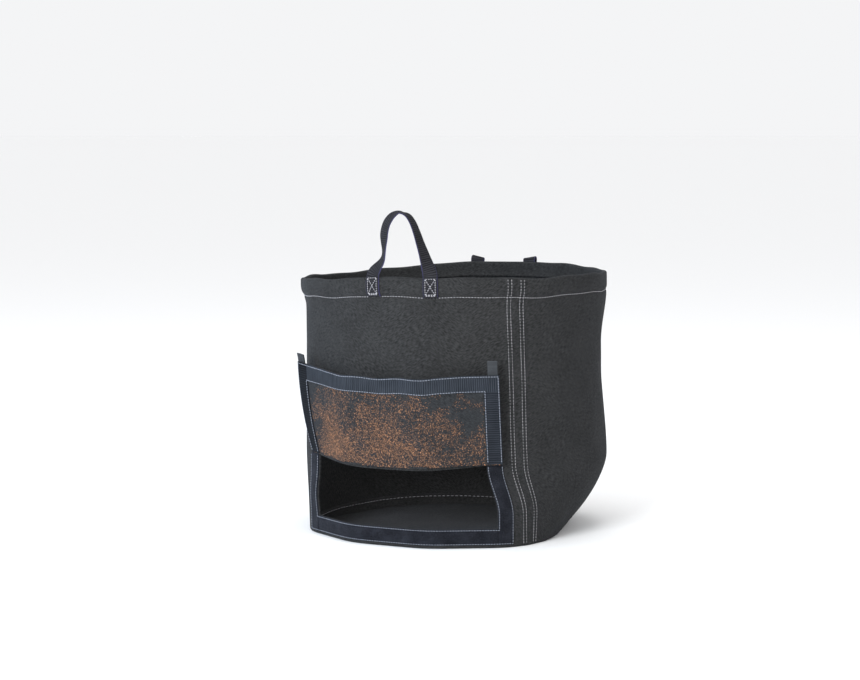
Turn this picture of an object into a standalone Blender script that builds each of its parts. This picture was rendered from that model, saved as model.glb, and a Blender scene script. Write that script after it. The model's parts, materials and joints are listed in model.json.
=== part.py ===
"""Fabric potato grow bag with a harvest flap, in metres, +Z up.

The origin is the centre of the base's underside, and the harvest window faces -Y. The bag is a felt
tube with a folded hem, a felt base and a window low on its front. A felt flap, sewn on above the
window, is folded up and shows the hook tape on its inner face. Loop tape frames the window. Felt bends,
so the flap is three flat leaves: the middle one hinges at the fold, and the outer ones turn on it.
An angle on the wall is measured in degrees from the front, -Y, towards +X.
"""

import math

import bmesh
import bpy
from mathutils import Matrix, Vector

# Overall form
HEIGHT = 0.336
WALL_RADIUS = 0.1945
FELT = 0.003
GAP = 0.0004
ROLL = 0.0032  # outer radius of the hem's roll over the rim
HEM_DEPTH = 0.024
HEM_FLARE = 0.006
FRONT_FLARE = (0.298, 0.326)  # heights over which the wall flares out to the rim
SIDE_FLARE = (0.243, 0.312)
SIDE_FLARE_ANGLES = (60.0, 115.0, 130.0, 170.0)
RIM_DROOP = 0.0133
DROOP_ANGLE, DROOP_SPREAD = -90.0, 95.0

# The window stands on three flat facets of the wall, joined by soft corners
FACET_APOTHEM = 0.192
FACET_HALF_ANGLE = 15.3
CORNER_SOFTNESS = 4.0
FACETS_END = 58.0
FACETS_FADE = (0.225, 0.300)

# The sides and back are fuller low down, and their foot rolls under
BELLY_WAIST, BELLY_SWELL = -0.0017, 0.0082
BELLY_HEIGHTS = (0.215, 0.095)
BELLY_ANGLES = (60.0, 110.0)
ROLL_UNDER, ROLL_UNDER_HEIGHT, ROLL_UNDER_POWER = 0.054, 0.095, 1.6
ROLL_UNDER_ANGLES = (45.0, 105.0)

# Low down on its +X side the wall's cloth is pushed round towards +X, and the window's edge with it
DRIFT = 4.2
DRIFT_HEIGHTS = (0.104, 0.040)
DRIFT_ANGLES = (20.0, 35.0, 60.0, 90.0)

# Window and tapes, across a facet from its centre line
TAPE_WIDTH = 0.020
WINDOW_EDGE = 0.025
TAPE_EDGE = WINDOW_EDGE + TAPE_WIDTH
WINDOW_BOTTOM, WINDOW_TOP = 0.024, 0.104
TAPE_BOTTOM = WINDOW_BOTTOM - TAPE_WIDTH
TAPE_THICK = 0.0016
STITCH_INSET = 0.0015
THREAD_RADIUS = 0.00025

# Flap
FOLD_HEIGHT = 0.1075
HINGE_DISTANCE = 0.1982  # from the bag's axis to the fold line
FLAP_HEIGHT = 0.106
FLAP_FELT = (-0.0005, 0.0020)  # the leaf's faces, towards the bag from the hinge plane
HOOK_FACES = (-0.0024, -0.0008)
HOOK_THREAD = -0.00295
LEAF_START = 0.002
LEAF_CLEARANCE = 0.0012
TAPE_CLEARANCE = 0.0016
LEAN = 6.0
LEFT_TURN, RIGHT_TURN = 27.0, 28.5
SEWN_EDGE = (0.1105, 0.1225)
SEWN_EDGE_THICK = 0.0025
SEWN_EDGE_ROWS = (0.1135, 0.1195)

# Pull tabs
TAB_WIDTH, TAB_LENGTH, TAB_THICK = 0.014, 0.0185, 0.0022
TAB_INSET = 0.001

# Side seam: two double rows of stitches
SEAM_ANGLE_TOP = 48.1
SEAM_DRIFT = 3.6
SEAM_ROWS = (-0.0108, -0.0061, 0.0061, 0.0108)

# Handles
HANDLE_ANGLE = 5.5
FOOT_ANGLE = 11.2
STRAP_WIDTH, STRAP_THICK = 0.020, 0.0014
FOOT_BOTTOM, FOOT_TOP = 0.3105, 0.3352
FOOT_OUT = 0.0013  # of a foot's back from the hem, over the hem's stitching
HANDLE_HEIGHT = 0.081
NARROWING_LEFT, NARROWING_RIGHT = 0.50, 0.45
HANDLE_POWER = 0.75
STRAP_START = 0.0024
HINGE_RISE = 0.0024  # of a handle's hinge above the rim
HINGE_OUT = 0.003  # of a handle's hinge from its strap's middle
TWIST_LEFT, TWIST_RIGHT = 0.045, 0.080
HANG_ANGLE = 172.0
BOX_WIDTH, BOX_HEIGHT = 0.014, 0.0205
BOX_LINE = 0.0011

BASE_FLANGE = 0.012
BASE_STITCH = 0.008

FELT_COLOUR = (0.048, 0.050, 0.055)
HOOK_COLOUR = (0.045, 0.055, 0.075)
LOOP_COLOUR = (0.020, 0.023, 0.030)
WEBBING_COLOUR = (0.030, 0.034, 0.046)
TAB_COLOUR = (0.080, 0.090, 0.105)
THREAD_COLOUR = (0.450, 0.480, 0.560)

BAG = "fabric_grow_bag"


def smooth(start, end, value):
    t = min(1.0, max(0.0, (value - start) / (end - start)))
    return t * t * (3 - 2 * t)


def mix(a, b, share):
    return a + (b - a) * share


# The wall's surface


def facet_radius(angle):
    """Plan radius of the three flat facets, whose corners are rounded."""
    turn = abs(angle)
    if turn < 3 * FACET_HALF_ANGLE:
        off_centre = abs((turn + FACET_HALF_ANGLE) % (2 * FACET_HALF_ANGLE) - FACET_HALF_ANGLE)
    else:
        off_centre = FACET_HALF_ANGLE
    into_corner = max(0.0, off_centre - FACET_HALF_ANGLE + CORNER_SOFTNESS)
    off_centre -= into_corner**2 / (2 * CORNER_SOFTNESS)
    return FACET_APOTHEM / math.cos(math.radians(off_centre))


def wall_radius(angle, height):
    angle = (angle + 180) % 360 - 180
    turn = abs(angle)
    belly = BELLY_WAIST + BELLY_SWELL * smooth(*BELLY_HEIGHTS, height)
    round_part = WALL_RADIUS + belly * smooth(*BELLY_ANGLES, turn)
    faceted = (1 - smooth(3 * FACET_HALF_ANGLE, FACETS_END, turn)) * (1 - smooth(*FACETS_FADE, height))
    radius = mix(round_part, facet_radius(angle), faceted)
    if height < ROLL_UNDER_HEIGHT:
        share = (1 - height / ROLL_UNDER_HEIGHT) ** ROLL_UNDER_POWER
        radius -= ROLL_UNDER * share * smooth(*ROLL_UNDER_ANGLES, turn)
    first, full, fade, last = SIDE_FLARE_ANGLES
    side = smooth(first, full, angle) * (1 - smooth(fade, last, angle))
    return radius + HEM_FLARE * mix(smooth(*FRONT_FLARE, height), smooth(*SIDE_FLARE, height), side)


def drift(angle, height):
    """How far round the cloth of the wall has been pushed at this place."""
    first, full, fade, last = DRIFT_ANGLES
    across = smooth(first, full, angle) * (1 - smooth(fade, last, angle))
    return DRIFT * across * smooth(*DRIFT_HEIGHTS, height)


def wall_point(angle, height, out=0.0):
    """A point on the wall's outer face, moved out along the face's normal."""

    def on_face(a, h):
        a += drift(a, h)
        radius = wall_radius(a, h)
        away = abs((a - DROOP_ANGLE + 180) % 360 - 180) / DROOP_SPREAD
        droop = RIM_DROOP * math.cos(min(1.0, away) * math.pi / 2) ** 2 * (max(0.0, h) / HEIGHT) ** 2
        turn = math.radians(a)
        return Vector((radius * math.sin(turn), -radius * math.cos(turn), h - droop))

    point = on_face(angle, height)
    if out == 0:
        return point
    around = on_face(angle + 0.5, height) - on_face(angle - 0.5, height)
    up = on_face(angle, height + 0.0005) - on_face(angle, height - 0.0005)
    return point + around.cross(up).normalized() * out


def facet_angle(across):
    """The angle of a line on the right-hand facet, at this distance beyond its centre line."""
    return 2 * FACET_HALF_ANGLE + math.degrees(math.atan(across / FACET_APOTHEM))


def seam_angle(height):
    """The side seam slants towards +X on its way down."""
    return SEAM_ANGLE_TOP + SEAM_DRIFT * (1 - height / HEIGHT)


WINDOW_ANGLE = facet_angle(WINDOW_EDGE)
TAPE_ANGLE = facet_angle(TAPE_EDGE)
LOW_HEIGHTS = [0.040, 0.056, 0.072, 0.088]
WALL_HEIGHTS = [0, 0.012, WINDOW_BOTTOM] + LOW_HEIGHTS + [WINDOW_TOP, 0.120, 0.150, 0.195]
WALL_HEIGHTS += [0.240, 0.265, 0.285, 0.300, HEIGHT - HEM_DEPTH, 0.324]


def wall_columns():
    """Angles of the wall's mesh lines: few on the flat facets, and one every 6 degrees elsewhere."""
    soft = CORNER_SOFTNESS * 0.625
    half = [
        (FACET_HALF_ANGLE - soft) / 2,
        FACET_HALF_ANGLE - soft,
        FACET_HALF_ANGLE + soft,
        1.58 * FACET_HALF_ANGLE,
        2 * FACET_HALF_ANGLE,
        WINDOW_ANGLE,
        TAPE_ANGLE,
        3 * FACET_HALF_ANGLE + soft,
    ]
    half += [54 + 6 * k for k in range(21)]
    return [-a for a in reversed(half)] + [0.0] + half + [180.0]


COLUMNS = wall_columns()


def columns_between(low, high):
    inside = [a for a in COLUMNS if low + 0.5 < a < high - 0.5]
    return [low] + inside + [high]


# Blender helpers


def material(name, colour, roughness):
    made = bpy.data.materials.new(name)
    made.use_nodes = True
    shader = made.node_tree.nodes["Principled BSDF"]
    shader.inputs["Base Color"].default_value = (*colour, 1)
    shader.inputs["Roughness"].default_value = roughness
    shader.inputs["Metallic"].default_value = 0
    made.diffuse_color = (*colour, 1)
    return made


def add_object(name, data, finish, parent=None):
    made = bpy.data.objects.new(name, data)
    data.materials.append(finish)
    bpy.data.collections[BAG].objects.link(made)
    made.parent = parent
    return made


def mesh_from(bm, name, normals=True):
    if normals:
        bmesh.ops.recalc_face_normals(bm, faces=bm.faces)
    mesh = bpy.data.meshes.new(name)
    bm.to_mesh(mesh)
    bm.free()
    mesh.shade_smooth()
    mesh.set_sharp_from_angle(angle=math.radians(35))
    return mesh


def thicken(target, thickness, offset):
    solidify = target.modifiers.new("thickness", "SOLIDIFY")
    solidify.thickness = thickness
    solidify.offset = offset
    solidify.use_even_offset = True


def grid(columns, rows, place, hole=None):
    """A mesh grid whose vertex in column i and row j is put at place(i, j).

    A hole is the first and last column and the first and last row of its edges.
    """
    bm = bmesh.new()
    bmesh.ops.create_grid(bm, x_segments=columns - 1, y_segments=rows - 1, size=0.5)

    def spot(co):
        return (co.x + 0.5) * (columns - 1), (co.y + 0.5) * (rows - 1)

    def inside(face):
        i, j = spot(face.calc_center_median())
        return hole[0] < i < hole[1] and hole[2] < j < hole[3]

    if hole:
        bmesh.ops.delete(bm, geom=[f for f in bm.faces if inside(f)], context="FACES")
    for vertex in bm.verts:
        i, j = spot(vertex.co)
        vertex.co = place(round(i), round(j))
    return bm


def wall_strip(name, angles, heights, out, thickness, finish):
    """A strip of cloth that lies on the wall, its back at this distance from the wall's face."""
    bm = grid(len(angles), len(heights), lambda i, j: wall_point(angles[i], heights[j], out))
    strip = add_object(name, mesh_from(bm, name, normals=False), finish)
    thicken(strip, thickness, 1)
    return strip


def thread(name, points, finish, parent=None, closed=False):
    curve = bpy.data.curves.new(name, "CURVE")
    curve.dimensions = "3D"
    curve.bevel_depth = THREAD_RADIUS
    curve.bevel_resolution = 0
    curve.use_fill_caps = not closed
    spline = curve.splines.new("POLY")
    spline.points.add(len(points) - 1)
    for spot, point in zip(spline.points, points):
        spot.co = (*point, 1)
    spline.use_cyclic_u = closed
    return add_object(name, curve, finish, parent)


def plate(name, low, high, finish, parent):
    """A flat rectangular piece between two corners in its parent's axes."""
    low, high = Vector(low), Vector(high)
    bm = bmesh.new()
    bmesh.ops.create_cube(bm, size=1.0)
    size = high - low
    bmesh.ops.transform(bm, matrix=Matrix.Diagonal((*size, 1)), verts=bm.verts)
    bmesh.ops.translate(bm, vec=(low + high) / 2, verts=bm.verts)
    return add_object(name, mesh_from(bm, name), finish, parent)


def pivot(name, location, rotation, parent=None):
    made = bpy.data.objects.new(name, None)
    made.empty_display_size = 0.02
    bpy.data.collections[BAG].objects.link(made)
    made.parent = parent
    made.location = location
    made.rotation_euler = rotation
    return made


# The bag


def wall_stations():
    """(height, distance out from the wall's face) from the foot, over the rim and down inside the hem."""
    stations = [(height, 0.0) for height in WALL_HEIGHTS]
    for k in range(5):
        turn = math.pi * k / 4
        stations.append((HEIGHT - ROLL + ROLL * math.sin(turn), -ROLL * (1 - math.cos(turn))))
    return stations + [(HEIGHT - HEM_DEPTH, -2 * ROLL)]


def make_wall(felt):
    stations = wall_stations()
    angles = [-180.0] + COLUMNS
    window = [angles.index(-WINDOW_ANGLE), angles.index(WINDOW_ANGLE)]
    window += [WALL_HEIGHTS.index(WINDOW_BOTTOM), WALL_HEIGHTS.index(WINDOW_TOP)]
    bm = grid(len(angles), len(stations), lambda i, j: wall_point(angles[i], *stations[j]), window)
    bmesh.ops.remove_doubles(bm, verts=bm.verts, dist=1e-5)
    wall = add_object("wall_panel", mesh_from(bm, "wall_panel", normals=False), felt)
    thicken(wall, FELT, -1)


def make_base(felt, white):
    """The base is a disc whose edge is turned up inside the wall's foot and sewn to it."""
    inner = -FELT - GAP
    rows = [(None, 0.0), (0.0016, inner), (BASE_FLANGE, inner)]
    angles = [-180.0] + COLUMNS

    def place(i, j):
        height, out = rows[j]
        if height is None:
            point = wall_point(angles[i], 0.0, inner - 0.0016)
            point.z = 0
            return point
        return wall_point(angles[i], height, out)

    bm = grid(len(angles), len(rows), place)
    bmesh.ops.remove_doubles(bm, verts=bm.verts, dist=1e-5)
    rim = [e for e in bm.edges if all(abs(v.co.z) < 1e-6 for v in e.verts)]
    bmesh.ops.contextual_create(bm, geom=rim)
    base = add_object("base_panel", mesh_from(bm, "base_panel"), felt)
    thicken(base, FELT, -1)
    ring = [wall_point(a, BASE_STITCH, inner - FELT - 2 * GAP) for a in COLUMNS]
    thread("base_seam_stitching", ring, white, closed=True)


def make_wall_stitching(white):
    out = GAP + THREAD_RADIUS
    hem = [wall_point(a, HEIGHT - HEM_DEPTH, out) for a in COLUMNS]
    thread("hem_stitching", hem, white, closed=True)
    heights = [0.002] + WALL_HEIGHTS[1:-2]
    for number, across in enumerate(SEAM_ROWS, 1):
        turn = math.degrees(across / WALL_RADIUS)
        row = [wall_point(seam_angle(h) + turn, h, out) for h in heights]
        thread(f"side_seam_stitching_{number}", row, white)


def make_window_tapes(loop, white):
    side_heights = [TAPE_BOTTOM, 0.012, WINDOW_BOTTOM] + LOW_HEIGHTS + [WINDOW_TOP]
    for side, name in ((-1, "left"), (1, "right")):
        angles = sorted(side * a for a in (WINDOW_ANGLE, TAPE_ANGLE))
        wall_strip(f"loop_tape_{name}", angles, side_heights, GAP, TAPE_THICK, loop)
    inside = WINDOW_ANGLE - 0.15
    angles = columns_between(-inside, inside)
    wall_strip("loop_tape_bottom", angles, [TAPE_BOTTOM, WINDOW_BOTTOM], GAP, TAPE_THICK, loop)

    out = 2 * GAP + TAPE_THICK + THREAD_RADIUS
    sides = [WINDOW_BOTTOM] + LOW_HEIGHTS + [WINDOW_TOP - 0.001]
    rows = (
        ("window_inner_stitching", facet_angle(WINDOW_EDGE + STITCH_INSET), WINDOW_BOTTOM - STITCH_INSET),
        ("window_outer_stitching", facet_angle(TAPE_EDGE - STITCH_INSET), TAPE_BOTTOM + STITCH_INSET),
    )
    for name, edge, low in rows:
        left = [wall_point(-edge, height, out) for height in reversed(sides)]
        across = [wall_point(a, low, out) for a in columns_between(-edge, edge)]
        right = [wall_point(edge, height, out) for height in sides]
        thread(name, left + across + right, white)


def make_sewn_edge(felt, white):
    """The flap's top edge, sewn flat on the wall above the window."""
    angles = columns_between(-TAPE_ANGLE, TAPE_ANGLE)
    wall_strip("flap_sewn_edge", angles, list(SEWN_EDGE), GAP, SEWN_EDGE_THICK, felt)
    out = 2 * GAP + SEWN_EDGE_THICK + THREAD_RADIUS
    for name, height in zip(("lower", "upper"), SEWN_EDGE_ROWS):
        row = [wall_point(a, height, out) for a in columns_between(-TAPE_ANGLE + 0.5, TAPE_ANGLE - 0.5)]
        thread(f"flap_edge_stitching_{name}", row, white)


# The flap. A leaf's axes: X along the fold, Y towards the bag, Z up the leaf.


def leaf_plate(name, across, up, faces, finish, leaf):
    return plate(name, (across[0], faces[0], up[0]), (across[1], faces[1], up[1]), finish, leaf)


def flap_thread(name, route, white, leaf):
    thread(name, [(x, HOOK_THREAD, z) for x, z in route], white, leaf)


def make_middle_leaf(leaf, half, felt, hook, white):
    tape_low = FLAP_HEIGHT - TAPE_WIDTH
    edge, tape_edge = half - LEAF_CLEARANCE, half - TAPE_CLEARANCE
    leaf_plate("flap_panel_middle", (-edge, edge), (LEAF_START, FLAP_HEIGHT), FLAP_FELT, felt, leaf)
    leaf_plate("hook_tape_end_middle", (-tape_edge, tape_edge), (tape_low, FLAP_HEIGHT), HOOK_FACES, hook, leaf)
    for name, height in (("outer", FLAP_HEIGHT - STITCH_INSET), ("inner", tape_low + STITCH_INSET)):
        route = [(-tape_edge, height), (tape_edge, height)]
        flap_thread(f"flap_middle_stitching_{name}", route, white, leaf)


def make_outer_leaf(leaf, side, name, length, felt, hook, white, webbing):
    """side is -1 for the leaf on the left and 1 for the one on the right."""
    tape_low = FLAP_HEIGHT - TAPE_WIDTH
    full_height = side < 0  # the left side tape runs to the corner, and the right one stops under the other
    side_top = FLAP_HEIGHT if full_height else tape_low - GAP
    inner_edge = length - TAPE_WIDTH
    end_stop = inner_edge - GAP if full_height else length

    def span(near, far):
        return tuple(sorted((side * near, side * far)))

    felt_up, side_up = (LEAF_START, FLAP_HEIGHT), (LEAF_START, side_top)
    leaf_plate(f"flap_panel_{name}", span(LEAF_CLEARANCE, length), felt_up, FLAP_FELT, felt, leaf)
    leaf_plate(f"hook_tape_side_{name}", span(inner_edge, length), side_up, HOOK_FACES, hook, leaf)
    end_across = span(TAPE_CLEARANCE, end_stop)
    leaf_plate(f"hook_tape_end_{name}", end_across, (tape_low, FLAP_HEIGHT), HOOK_FACES, hook, leaf)
    for row, edge, height in (
        ("outer", length - STITCH_INSET, FLAP_HEIGHT - STITCH_INSET),
        ("inner", inner_edge + STITCH_INSET, tape_low + STITCH_INSET),
    ):
        route = [(side * edge, LEAF_START + 0.001), (side * edge, height), (side * TAPE_CLEARANCE, height)]
        flap_thread(f"flap_{name}_stitching_{row}", route, white, leaf)

    near = length - TAB_INSET - TAB_WIDTH
    across = span(near, near + TAB_WIDTH)
    faces = (FLAP_FELT[1] - TAB_THICK, FLAP_FELT[1])
    leaf_plate(f"pull_tab_{name}", across, (FLAP_HEIGHT + GAP, FLAP_HEIGHT + TAB_LENGTH), faces, webbing, leaf)


def make_flap(felt, hook, white, webbing):
    hinge = pivot("flap_hinge", (0, -HINGE_DISTANCE, FOLD_HEIGHT), (math.radians(LEAN), 0, 0))
    half = HINGE_DISTANCE * math.tan(math.radians(FACET_HALF_ANGLE))
    length = half + TAPE_EDGE
    make_middle_leaf(hinge, half, felt, hook, white)
    for side, name, turn in ((-1, "left", LEFT_TURN), (1, "right", RIGHT_TURN)):
        turned = (0, 0, side * math.radians(turn))
        flex = pivot(f"flap_{name}_flex", (side * half, 0, 0), turned, hinge)
        make_outer_leaf(flex, side, name, length, felt, hook, white, webbing)


# Handles. Their axes: X along the rim, Y into the bag, Z up.


def strap_point(position, across, foot_half):
    """A point of the strap's middle surface: position runs 0 to 1 from foot to foot, across is -1 to 1."""
    turn = math.pi * position
    climb = math.sin(turn) if 0 < position < 1 else 0.0
    rise = HANDLE_HEIGHT * climb**HANDLE_POWER
    if position < 0.5:
        narrowing = NARROWING_LEFT * math.sqrt(climb) * math.cos(turn)
        width_turn = mix(-FOOT_ANGLE, -90, smooth(0, TWIST_LEFT, rise))
    else:
        narrowing = NARROWING_RIGHT * climb
        width_turn = mix(-180 + FOOT_ANGLE, -90, smooth(0, TWIST_RIGHT, rise))
    along = -foot_half * math.cos(turn) * (1 - narrowing)
    reach = across * STRAP_WIDTH / 2
    width_turn = math.radians(width_turn)
    height = mix(STRAP_START, HANDLE_HEIGHT, rise / HANDLE_HEIGHT)
    return Vector((along + reach * math.cos(width_turn), HINGE_OUT + reach * math.sin(width_turn), height))


def make_strap(name, webbing, parent, foot_half):
    columns, rows = 29, 3

    def place(i, j):
        return strap_point(i / (columns - 1), j - 1, foot_half)

    bm = grid(columns, rows, place)
    strap = add_object(name, mesh_from(bm, name), webbing, parent)
    thicken(strap, STRAP_THICK, 0)


def box_stitch(name, angle, white):
    """A square of stitches crossed by its diagonals, as a frame with four triangular holes."""
    curve = bpy.data.curves.new(name, "CURVE")
    curve.dimensions = "2D"
    curve.fill_mode = "BOTH"
    curve.extrude = THREAD_RADIUS
    w, h, line = BOX_WIDTH / 2, BOX_HEIGHT / 2, BOX_LINE
    slope = line * math.hypot(w, h) / (2 * h)
    rise = line * math.hypot(w, h) / (2 * w)
    outlines = [[(-w, -h), (w, -h), (w, h), (-w, h)]]
    for s in (-1, 1):
        outlines.append([(-w + line + slope, s * (h - line)), (w - line - slope, s * (h - line)), (0, s * rise)])
        outlines.append([(s * (w - line), -h + line + rise), (s * (w - line), h - line - rise), (s * slope, 0)])
    for outline in outlines:
        spline = curve.splines.new("POLY")
        spline.points.add(len(outline) - 1)
        for spot, (x, y) in zip(spline.points, outline):
            spot.co = (x, y, 0, 1)
        spline.use_cyclic_u = True
    made = add_object(name, curve, white)
    height = HEIGHT - 0.0015 - BOX_HEIGHT / 2
    centre = wall_point(angle, height, FOOT_OUT + STRAP_THICK + GAP + THREAD_RADIUS)
    up = (wall_point(angle, height + 0.008) - wall_point(angle, height - 0.008)).normalized()
    around = (wall_point(angle + 1, height) - wall_point(angle - 1, height)).normalized()
    out = around.cross(up).normalized()
    made.matrix_world = Matrix.Translation(centre) @ Matrix((around, up, out)).transposed().to_4x4()


def make_handle(place, angle, swing, webbing, white):
    """swing is the angle that the handle has turned down outwards from upright."""
    half_width = math.degrees(STRAP_WIDTH / 2 / wall_radius(angle, HEIGHT))
    heights = [FOOT_BOTTOM, HEIGHT - HEM_DEPTH, 0.324, FOOT_TOP - ROLL]
    for side, name in ((-1, "left"), (1, "right")):
        centre = angle + side * FOOT_ANGLE
        span = [centre - half_width, centre, centre + half_width]
        wall_strip(f"{place}_handle_foot_{name}", span, heights, FOOT_OUT, STRAP_THICK, webbing)
        box_stitch(f"{place}_handle_box_stitch_{name}", centre, white)
    strap_radius = wall_radius(angle, HEIGHT) + FOOT_OUT + STRAP_THICK / 2
    distance = strap_radius * math.cos(math.radians(FOOT_ANGLE)) + HINGE_OUT
    turn = math.radians(angle)
    location = (distance * math.sin(turn), -distance * math.cos(turn), HEIGHT + HINGE_RISE)
    hinge = pivot(f"{place}_handle_swing", location, (math.radians(swing), 0, turn))
    foot_half = strap_radius * math.sin(math.radians(FOOT_ANGLE))
    make_strap(f"{place}_handle_strap", webbing, hinge, foot_half)


def main():
    for old in list(bpy.data.objects):
        bpy.data.objects.remove(old)
    bag = bpy.data.collections.new(BAG)
    bpy.context.scene.collection.children.link(bag)
    felt = material("felt", FELT_COLOUR, 0.95)
    hook = material("hook_tape", HOOK_COLOUR, 0.6)
    loop = material("loop_tape", LOOP_COLOUR, 0.95)
    webbing = material("webbing", WEBBING_COLOUR, 0.7)
    tab = material("tab_webbing", TAB_COLOUR, 0.7)
    white = material("thread", THREAD_COLOUR, 0.6)
    make_wall(felt)
    make_base(felt, white)
    make_wall_stitching(white)
    make_window_tapes(loop, white)
    make_sewn_edge(felt, white)
    make_flap(felt, hook, white, tab)
    make_handle("front", HANDLE_ANGLE, 0.0, webbing, white)
    make_handle("rear", HANDLE_ANGLE + 180, HANG_ANGLE, webbing, white)


main()
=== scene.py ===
"""Looks of a fabric potato grow bag: felt, tapes, webbing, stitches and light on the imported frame.

Lengths are metres. An angle on the wall is in degrees from the front, -Y, towards +X.
"""

import json
import math

import bpy
import numpy as np
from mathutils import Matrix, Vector


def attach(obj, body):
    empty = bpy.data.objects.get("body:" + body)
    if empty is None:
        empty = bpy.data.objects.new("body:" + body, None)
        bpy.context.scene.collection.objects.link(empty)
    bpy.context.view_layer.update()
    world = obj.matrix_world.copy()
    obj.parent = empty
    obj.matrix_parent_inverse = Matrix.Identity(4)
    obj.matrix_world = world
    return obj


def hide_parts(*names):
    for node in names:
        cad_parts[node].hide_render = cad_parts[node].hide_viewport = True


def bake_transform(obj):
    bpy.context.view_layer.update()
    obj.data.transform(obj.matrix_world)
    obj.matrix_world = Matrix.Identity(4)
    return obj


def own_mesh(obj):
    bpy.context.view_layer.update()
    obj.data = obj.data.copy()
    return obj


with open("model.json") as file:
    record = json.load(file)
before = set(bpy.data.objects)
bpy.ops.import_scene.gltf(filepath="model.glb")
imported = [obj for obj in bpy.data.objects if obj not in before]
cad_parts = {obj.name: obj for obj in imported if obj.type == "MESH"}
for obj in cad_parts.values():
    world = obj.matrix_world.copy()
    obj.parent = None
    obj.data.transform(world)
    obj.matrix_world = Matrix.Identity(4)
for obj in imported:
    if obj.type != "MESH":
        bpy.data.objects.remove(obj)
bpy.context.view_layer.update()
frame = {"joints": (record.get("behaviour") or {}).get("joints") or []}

# The part's dimensions, which the fine surfaces follow
HEIGHT = 0.336
WALL_RADIUS = 0.1945
FELT = 0.003
ROLL = 0.0032
HEM_DEPTH = 0.024
HEM_FLARE = 0.006
FRONT_FLARE = (0.298, 0.326)
SIDE_FLARE = (0.243, 0.312)
SIDE_FLARE_ANGLES = (60.0, 115.0, 130.0, 170.0)
RIM_DROOP = 0.0133
DROOP_ANGLE, DROOP_SPREAD = -90.0, 95.0
FACET_APOTHEM = 0.192
FACET_HALF_ANGLE = 15.3
FACETS_END = 58.0
BELLY_WAIST, BELLY_SWELL = -0.0017, 0.0082
BELLY_HEIGHTS = (0.215, 0.095)
BELLY_ANGLES = (60.0, 110.0)
ROLL_UNDER, ROLL_UNDER_HEIGHT, ROLL_UNDER_POWER = 0.054, 0.095, 1.6
ROLL_UNDER_ANGLES = (45.0, 105.0)
DRIFT = 4.2
DRIFT_HEIGHTS = (0.104, 0.040)
DRIFT_ANGLES = (20.0, 35.0, 60.0, 90.0)
TAPE_WIDTH = 0.020
WINDOW_EDGE = 0.025
TAPE_EDGE = WINDOW_EDGE + TAPE_WIDTH
WINDOW_BOTTOM, WINDOW_TOP = 0.024, 0.104
TAPE_BOTTOM = WINDOW_BOTTOM - TAPE_WIDTH
FOLD_HEIGHT = 0.1075
HINGE_DISTANCE = 0.1982
FLAP_HEIGHT = 0.106
LEAN = 6.0
LEFT_TURN, RIGHT_TURN = 27.0, 28.5
SEWN_EDGE = (0.1105, 0.1225)
SEAM_ANGLE_TOP, SEAM_DRIFT = 48.1, 3.6
SEAM_ROWS = (-0.0108, -0.0061, 0.0061, 0.0108)
HANDLE_ANGLE = 5.5
STRAP_THICK = 0.0014
TAB_HEIGHT = 0.0175

# Where the looks are softer than the CAD part, or a little to one side of it
CORNER_SOFTNESS = 8.0
FACETS_FADE = (0.185, 0.300)
FOLD_DROOP = 0.0035
FOOT_ANGLE = 10.9
FOOT_BOTTOM = 0.3120
STRAP_WIDTH = 0.0180
HANDLE_SHIFT = 0.0030
PINCH_ANGLE = 113.0  # where the hem is creased at the rear right
FLAP_BEND = 0.034  # half the length along which the flap turns from one leaf to the next

# Fine details of the cloth
PILE_THICK = 0.0017
SOFT_EDGE = 0.0009
MERGE_DISTANCE = 0.00002
TAPE_PITCH = 0.0027  # from rib to rib
FOOT_RADIUS = 0.16
SIDES = {-1: "left", 1: "right"}

LEAF = HINGE_DISTANCE * math.tan(math.radians(FACET_HALF_ANGLE))
OUTER_LEAF = LEAF + TAPE_EDGE
FLAP_HALF = LEAF + OUTER_LEAF


def smooth(start, end, value):
    t = np.clip((value - start) / (end - start), 0, 1)
    return t * t * (3 - 2 * t)


def bump(value, centre, spread):
    return np.exp(-(((value - centre) / spread) ** 2))


# The wall's surface


def facet_angle(across):
    return 2 * FACET_HALF_ANGLE + math.degrees(math.atan(across / FACET_APOTHEM))


WINDOW_ANGLE = facet_angle(WINDOW_EDGE)
TAPE_ANGLE = facet_angle(TAPE_EDGE)


def facet_radius(angle):
    turn = np.abs(angle)
    folded = np.abs((turn + FACET_HALF_ANGLE) % (2 * FACET_HALF_ANGLE) - FACET_HALF_ANGLE)
    off = np.where(turn < 3 * FACET_HALF_ANGLE, folded, FACET_HALF_ANGLE)
    into = np.maximum(0, off - FACET_HALF_ANGLE + CORNER_SOFTNESS)
    off = off - into**2 / (2 * CORNER_SOFTNESS)
    return FACET_APOTHEM / np.cos(np.radians(off))


def wall_radius(angle, z):
    angle = (angle + 180) % 360 - 180
    turn = np.abs(angle)
    belly = BELLY_WAIST + BELLY_SWELL * smooth(*BELLY_HEIGHTS, z)
    round_part = WALL_RADIUS + belly * smooth(*BELLY_ANGLES, turn)
    faceted = 1 - smooth(3 * FACET_HALF_ANGLE, FACETS_END, turn)
    faceted = faceted * (1 - smooth(*FACETS_FADE, z))
    radius = round_part + (facet_radius(angle) - round_part) * faceted
    share = np.clip(1 - z / ROLL_UNDER_HEIGHT, 0, 1.1) ** ROLL_UNDER_POWER
    radius = radius - ROLL_UNDER * share * smooth(*ROLL_UNDER_ANGLES, turn)
    a, b, c, d = SIDE_FLARE_ANGLES
    side = smooth(a, b, angle) * (1 - smooth(c, d, angle))
    flare = smooth(*FRONT_FLARE, z) * (1 - side) + smooth(*SIDE_FLARE, z) * side
    return radius + HEM_FLARE * flare


def seam_angle(z):
    return SEAM_ANGLE_TOP + SEAM_DRIFT * (1 - z / HEIGHT)


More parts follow.
